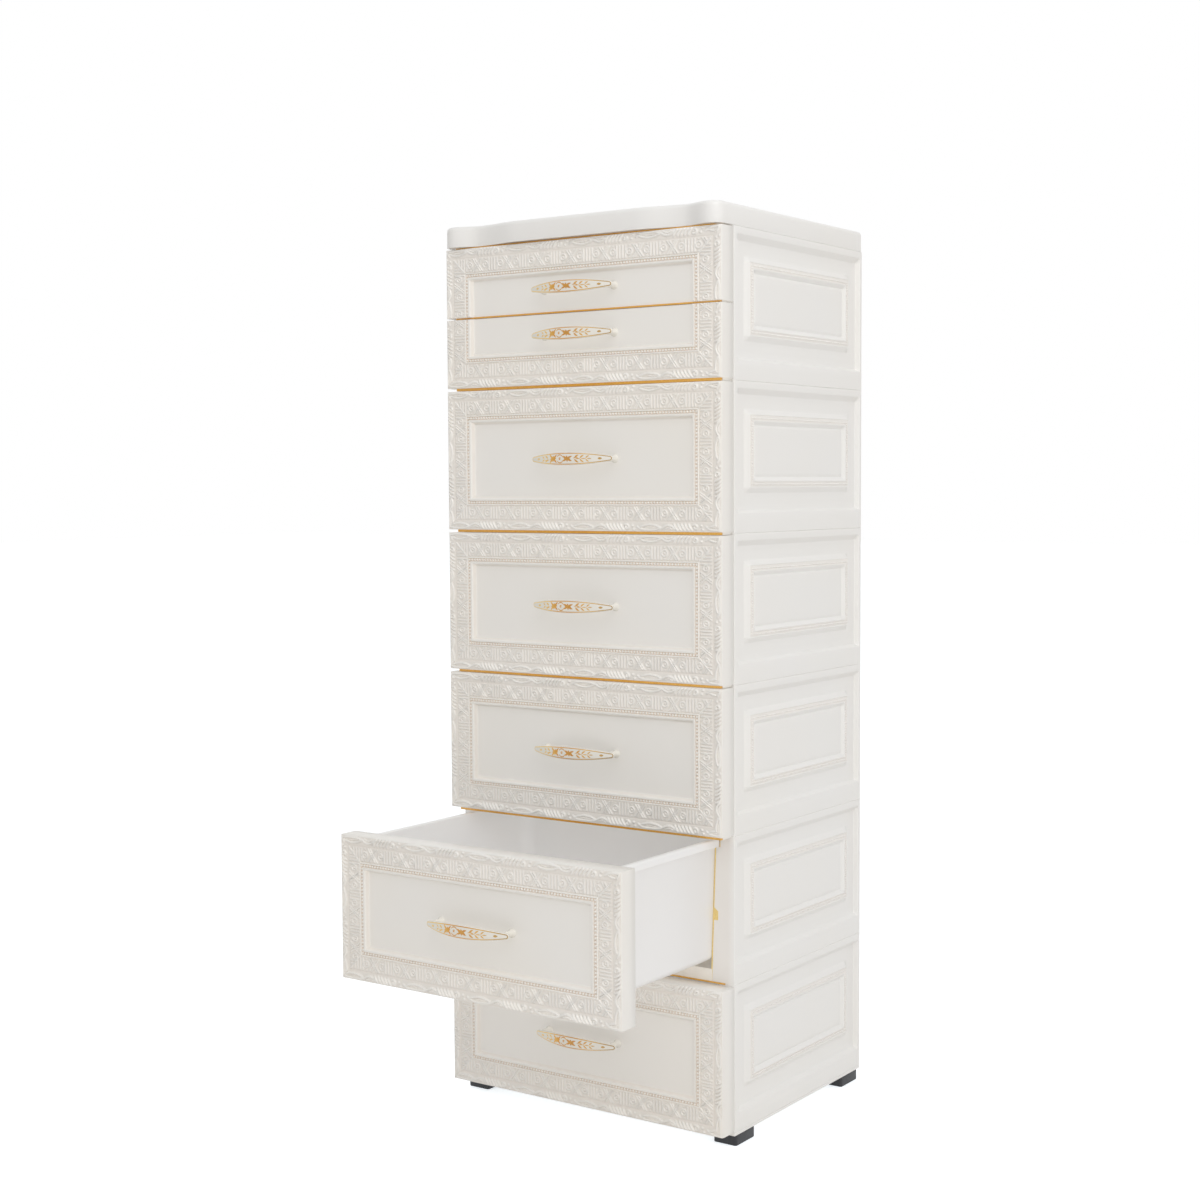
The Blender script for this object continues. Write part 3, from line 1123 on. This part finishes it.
for tier in range(1, TIERS + 1):
    lining = [slot_lining(tier)]
    moulding(f"gilt_slots_{tier}", lifted(lining + mirrored(lining), (0, 0, tier_z(tier))),
             "casing", slot_gilding)
seams = [block((-STRIP_X, CASING_Y - 0.45, tier_z(tier) - 1.0),
               (STRIP_X, CASING_Y + 0.3, tier_z(tier) + 0.9), 0.1) for tier in range(2, TIERS + 1)]
seams.append(block((-STRIP_X, FRONT_Y + 6, LID_Z - 1.5), (STRIP_X, CASING_Y, LID_Z + 0.2)))
moulding("gilt_seams", seams, "casing", gilding)
for d in range(3, DRAWERS + 1):
    edge = front_span(d)[0]
    drop = SPLIT_DROP if d == DRAWERS else STRIP_DROP
    for name, x0, x1, y0, y1, material in (
            ("gilt_edge", -STRIP_X, STRIP_END, FRONT_Y + 5, FRONT_Y + 9, gilding),
            ("front_lip", *LIP_X, FRONT_Y + 8.5, FRONT_BACK - 1, front_plastic)):
        strip = block((x0, y0, edge - drop), (x1, y1, edge + 0.3))
        moulding(f"{name}_{d}", lifted([strip], drawer_base(d)), f"drawer_{d}", material)

# ---------- stage ----------
# A white floor that runs on past the view, soft light from all round, a broad lamp in front and
# to the right, a second that casts no shadow and so lights the tubs' insides, and the
# photograph's camera.


def seen_rays(tree):
    """1 for the rays that show the background, those of the camera, of a reflection and through
    glass, and 0 for the rest."""
    path = tree.nodes.new("ShaderNodeLightPath")
    most = path.outputs["Is Camera Ray"]
    for ray in ("Is Glossy Ray", "Is Transmission Ray"):
        either = tree.nodes.new("ShaderNodeMath")
        either.operation = "MAXIMUM"
        tree.links.new(most, either.inputs[0])
        tree.links.new(path.outputs[ray], either.inputs[1])
        most = either.outputs["Value"]
    return most


bpy.ops.mesh.primitive_plane_add(size=40, location=(0, 0, -0.0005))
floor = bpy.context.object
floor.name = "floor"
paper, tree, shader = finish("floor_paper")
feed(shader, {"Base Color": (0.90, 0.87, 0.84, 1), "Roughness": 0.9,
              "Emission Color": (0.55, 0.6, 0.64, 1), "Emission Strength": seen_rays(tree)})
floor.data.materials.append(paper)

# the world is white where it is seen, and lights the tower from above more than from below
world = bpy.data.worlds.new("studio")
bpy.context.scene.world = world
world.use_nodes = True
tree = world.node_tree
height = wired(tree, "SeparateXYZ", "Z", Vector=wired(tree, "TexCoord", "Generated"))
light = wired(tree, "MapRange", "Result", From_Min=-0.3, To_Min=0.40, To_Max=0.68, Value=height)
feed(tree.nodes["Background"], {
    "Color": (1, 1, 1, 1),
    "Strength": wired(tree, "Mix", "Result", Factor=seen_rays(tree), A=light, B=1.0)})


def soft_lamp(name, place, aim, size, watts):
    """A square area lamp that looks from place towards aim."""
    data = bpy.data.lights.new(name, "AREA")
    data.size = size
    data.energy = watts
    lamp = bpy.data.objects.new(name, data)
    bpy.context.scene.collection.objects.link(lamp)
    way = np.array(aim, float) - np.array(place, float)
    lamp.location = place
    lamp.rotation_euler = (math.atan2(math.hypot(way[0], way[1]), -way[2]), 0,
                           math.atan2(way[1], way[0]) - math.pi / 2)
    return lamp


soft_lamp("key", (1.5, -2.1, 2.5), (0, 0, 0.5), 1.8, 7)
soft_lamp("even", (2.0, -1.4, 2.4), (0, 0, 0.4), 1.6, 28).data.use_shadow = False

# the camera as it was recovered from the photograph: its focal length in pixels of the frame
CAMERA_AT = (1.2442, -1.7864, 0.7320)
YAW, PITCH, ROLL = np.radians([-35.05, -3.47, -0.30])
SENSOR, FOCAL_PIXELS, FRAME_PIXELS = 36, 1882.4, 1200
ahead = np.array([math.sin(YAW) * math.cos(PITCH), math.cos(YAW) * math.cos(PITCH),
                  math.sin(PITCH)])
right = np.array([math.cos(YAW), -math.sin(YAW), 0])
above = np.cross(right, ahead)
right, above = (math.cos(ROLL) * right + math.sin(ROLL) * above,
                math.cos(ROLL) * above - math.sin(ROLL) * right)
camera = bpy.data.objects.new("camera", bpy.data.cameras.new("camera"))
bpy.context.scene.collection.objects.link(camera)
camera.data.sensor_width = SENSOR
camera.data.lens = SENSOR * FOCAL_PIXELS / FRAME_PIXELS
camera.data.clip_end = 60
camera.matrix_world = Matrix([[right[i], above[i], -ahead[i], CAMERA_AT[i]] for i in range(3)]
                             + [[0, 0, 0, 1]])
bpy.context.scene.camera = camera
bpy.context.scene.view_settings.view_transform = "Standard"
